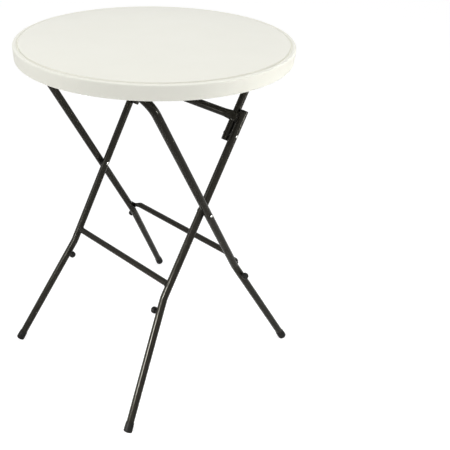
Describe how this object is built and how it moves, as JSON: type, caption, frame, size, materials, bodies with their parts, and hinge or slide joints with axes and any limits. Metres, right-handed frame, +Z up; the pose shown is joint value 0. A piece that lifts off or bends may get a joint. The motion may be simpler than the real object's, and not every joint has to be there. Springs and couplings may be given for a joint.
{
  "type": "folding bistro table",
  "caption": "Round bar-height folding table: white moulded top on crossed dark steel tube frames that fold flat under it, locked open by two short braces.",
  "frame": {"origin": "on the floor, under the middle of the round top", "axes": "+Z up; +Y along the hinge axes, across the frames; +X along the spread of the legs, towards the outer frame's feet"},
  "size_m": [0.8, 0.8, 1.1],
  "materials": {
    "moulded_top": "satin",
    "coated_steel": "gloss powder coat",
    "black_plastic": "satin",
    "zinc_steel": "satin"
  },
  "bodies": {
    "top": {"table_top": "moulded_top", "crossbar_frame_side": "coated_steel", "crossbar_brace_side": "coated_steel", "snap_clip": "zinc_steel", "rail_left": "coated_steel", "saddle_clamp_left": "coated_steel", "brace_bracket_left": "coated_steel", "brace_pin_left": "zinc_steel", "screw_crossbar_frame_side_left": "zinc_steel", "screw_crossbar_brace_side_left": "zinc_steel", "screw_rail_end_left": "zinc_steel", "screw_clamp_a_left": "zinc_steel", "screw_clamp_b_left": "zinc_steel", "screw_bracket_left": "zinc_steel", "rail_right": "coated_steel", "saddle_clamp_right": "coated_steel", "brace_bracket_right": "coated_steel", "brace_pin_right": "zinc_steel", "screw_crossbar_frame_side_right": "zinc_steel", "screw_crossbar_brace_side_right": "zinc_steel", "screw_rail_end_right": "zinc_steel", "screw_clamp_a_right": "zinc_steel", "screw_clamp_b_right": "zinc_steel", "screw_bracket_right": "zinc_steel"},
    "outer_frame": {"outer_frame_tube": "coated_steel", "outer_spreader": "coated_steel", "lower_leg_outer_left": "coated_steel", "knob_outer_left": "black_plastic", "foot_cap_outer_left": "black_plastic", "cross_bolt_left": "zinc_steel", "lower_leg_outer_right": "coated_steel", "knob_outer_right": "black_plastic", "foot_cap_outer_right": "black_plastic", "cross_bolt_right": "zinc_steel"},
    "brace_links": {"brace_tube_left": "coated_steel", "brace_plug_upper_left": "black_plastic", "brace_plug_lower_left": "black_plastic", "brace_tube_right": "coated_steel", "brace_plug_upper_right": "black_plastic", "brace_plug_lower_right": "black_plastic"},
    "inner_frame": {"inner_top_bar": "coated_steel", "inner_spreader": "coated_steel", "inner_leg_left": "coated_steel", "leg_plug_left": "black_plastic", "lower_leg_inner_left": "coated_steel", "knob_inner_left": "black_plastic", "foot_cap_inner_left": "black_plastic", "cross_nut_left": "zinc_steel", "brace_bolt_left": "zinc_steel", "inner_leg_right": "coated_steel", "leg_plug_right": "black_plastic", "lower_leg_inner_right": "coated_steel", "knob_inner_right": "black_plastic", "foot_cap_inner_right": "black_plastic", "cross_nut_right": "zinc_steel", "brace_bolt_right": "zinc_steel"}
  },
  "joints": [
    {"name": "outer_frame_fold", "type": "hinge", "parent": "top", "child": "outer_frame", "pos_m": [-0.25725, 0, 1.055], "axis": [0, -1, 0], "range_deg": [0, 57.88]},
    {"name": "brace_fold", "type": "hinge", "parent": "top", "child": "brace_links", "pos_m": [0.24325, 0, 1.055], "axis": [0, 1, 0], "range_deg": [0, 59.4]},
    {"name": "inner_frame_fold", "type": "hinge", "parent": "brace_links", "child": "inner_frame", "pos_m": [0.1191, 0, 0.84047], "axis": [0, -1, 0], "range_deg": [0, 177.8]}
  ],
  "couplings": [
    {"joint": "brace_fold", "follows": "outer_frame_fold", "ratio": 1.0256},
    {"joint": "inner_frame_fold", "follows": "outer_frame_fold", "ratio": 3.0705}
  ]
}
